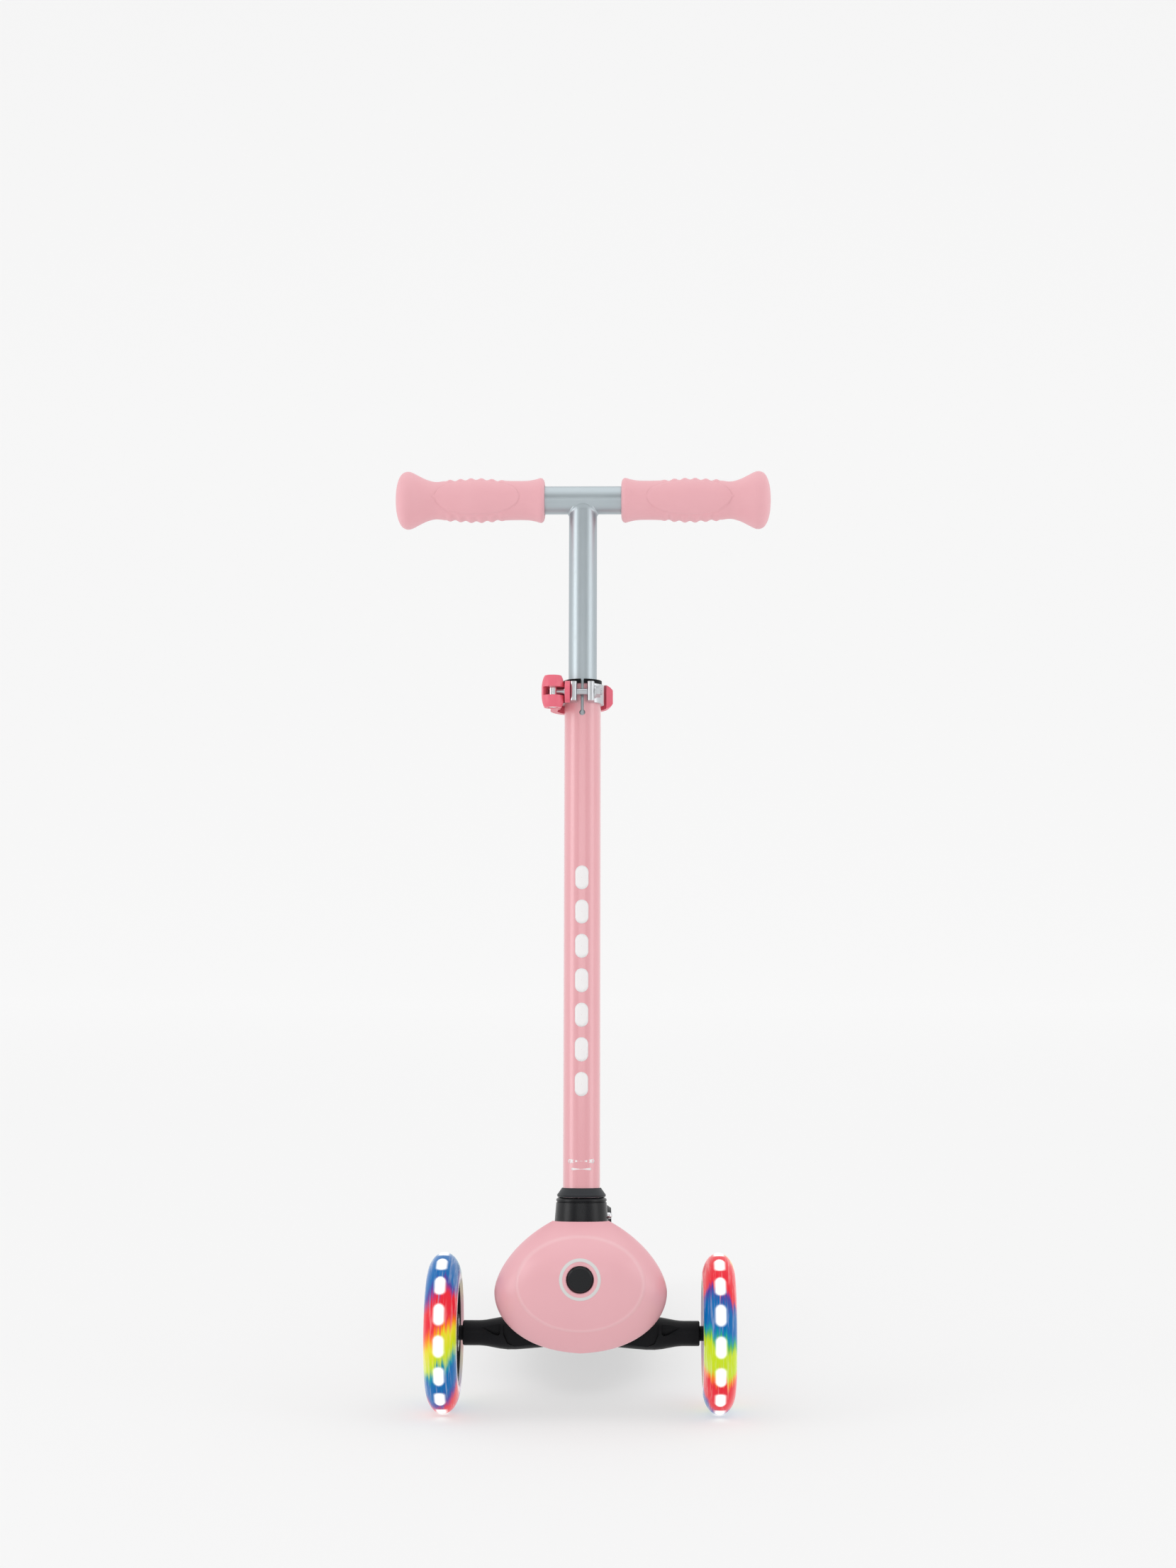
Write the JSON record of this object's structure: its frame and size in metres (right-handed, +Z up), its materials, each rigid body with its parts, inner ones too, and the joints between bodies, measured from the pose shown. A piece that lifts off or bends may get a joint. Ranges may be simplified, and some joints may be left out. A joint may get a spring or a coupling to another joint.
{
  "type": "three-wheel kick scooter",
  "caption": "Child's three-wheel kick scooter with lean steering, lit front wheels, quick-release height-adjustable handlebar and rear foot brake.",
  "frame": {"origin": "on the ground under the middle of the scooter's length and width", "axes": "+Z up, -Y is the riding direction, +X is to the right seen from the front"},
  "size_m": [0.2976, 0.5456, 0.7279],
  "materials": {
    "bare_aluminium": "satin",
    "pink_paint": "satin",
    "pink_rubber": "matt",
    "pink_plastic": "satin",
    "coral_plastic": "satin",
    "black_plastic": "fine texture",
    "dark_grey_plastic": "satin",
    "zinc_steel": "zinc plated",
    "chrome_steel": "polished",
    "clear_urethane": "glossy, coloured in soft bands",
    "light_window": "lit",
    "pink_urethane": "satin",
    "white_nylon": "plain",
    "red_urethane": "satin",
    "pad_rubber": "matt, ribbed"
  },
  "bodies": {
    "frame": {"column_tube": "pink_paint", "column_liner": "black_plastic", "clamp_collar": "bare_aluminium", "clamp_bolt": "zinc_steel", "clamp_nut": "zinc_steel", "clamp_barrel": "chrome_steel", "clamp_washer": "coral_plastic", "base_ring": "dark_grey_plastic", "head_housing": "black_plastic", "snap_clip": "zinc_steel", "front_cover": "pink_plastic", "cover_screws": "zinc_steel", "lock_spring": "zinc_steel", "pivot_sleeves": "white_nylon", "steering_bushings": "red_urethane", "deck_frame": "black_plastic", "deck_pad": "pad_rubber", "head_screws": "zinc_steel", "rear_axle": "zinc_steel", "rear_axle_nut": "zinc_steel", "rear_spacers": "dark_grey_plastic", "brake_pin": "zinc_steel", "brake_springs": "zinc_steel"},
    "handlebar": {"crossbar": "bare_aluminium", "stem_tube": "bare_aluminium", "stem_bush": "black_plastic", "grip_left": "pink_rubber", "grip_right": "pink_rubber"},
    "clamp_lever": {"clamp_lever": "coral_plastic"},
    "snap_button": {"snap_button": "chrome_steel"},
    "lock_button": {"lock_button": "black_plastic", "lock_plunger": "zinc_steel"},
    "truck": {"truck_body": "black_plastic", "kingpin": "zinc_steel", "kingpin_nut": "zinc_steel", "front_axles": "zinc_steel", "front_spacers": "black_plastic", "front_magnet_cores": "dark_grey_plastic"},
    "front_wheel_left": {"front_tyre_left": "clear_urethane", "front_lights_left": "light_window", "front_core_left": "dark_grey_plastic", "front_bearings_left": "zinc_steel", "front_cap_left": "black_plastic"},
    "front_wheel_right": {"front_tyre_right": "clear_urethane", "front_lights_right": "light_window", "front_core_right": "dark_grey_plastic", "front_bearings_right": "zinc_steel", "front_cap_right": "black_plastic"},
    "rear_wheel": {"rear_tyre": "pink_urethane", "rear_core": "dark_grey_plastic", "rear_bearings": "zinc_steel"},
    "brake": {"brake_fender": "dark_grey_plastic"}
  },
  "joints": [
    {"name": "handlebar_height", "type": "slide", "parent": "frame", "child": "handlebar", "axis": [0, 0.1219, 0.9925], "range_m": [-0.05, 0.05]},
    {"name": "clamp_lever_open", "type": "hinge", "parent": "frame", "child": "clamp_lever", "pos_m": [-0.0228, -0.17304, 0.55185], "axis": [0, 0.1219, 0.9925], "range_deg": [0, 110]},
    {"name": "snap_button_press", "type": "slide", "parent": "frame", "child": "snap_button", "axis": [-1, 0, 0], "range_m": [0, 0.0036], "stiffness_N_per_m": 1500, "springref_m": -0.001, "deforming": ["snap_clip"]},
    {"name": "lock_button_press", "type": "slide", "parent": "frame", "child": "lock_button", "axis": [0, 1, 0], "range_m": [0, 0.004], "stiffness_N_per_m": 700, "springref_m": -0.002, "deforming": ["lock_spring"]},
    {"name": "lean_steering", "type": "hinge", "parent": "frame", "child": "truck", "pos_m": [0, -0.2003, 0.068], "axis": [0, -0.866, 0.5], "range_deg": [-17, 17], "stiffness_Nm_per_rad": 40},
    {"name": "front_wheel_left_spin", "type": "hinge", "parent": "truck", "child": "front_wheel_left", "pos_m": [-0.105, -0.2123, 0.0605], "axis": [1, 0, 0], "continuous": true},
    {"name": "front_wheel_right_spin", "type": "hinge", "parent": "truck", "child": "front_wheel_right", "pos_m": [0.105, -0.2123, 0.0605], "axis": [1, 0, 0], "continuous": true},
    {"name": "rear_wheel_spin", "type": "hinge", "parent": "frame", "child": "rear_wheel", "pos_m": [0, 0.2277, 0.04], "axis": [1, 0, 0], "continuous": true},
    {"name": "brake_press", "type": "hinge", "parent": "frame", "child": "brake", "pos_m": [0, 0.1807, 0.062], "axis": [-1, 0, 0], "range_deg": [0, 5], "stiffness_Nm_per_rad": 6, "springref_deg": -6.88, "deforming": ["brake_springs"]}
  ]
}
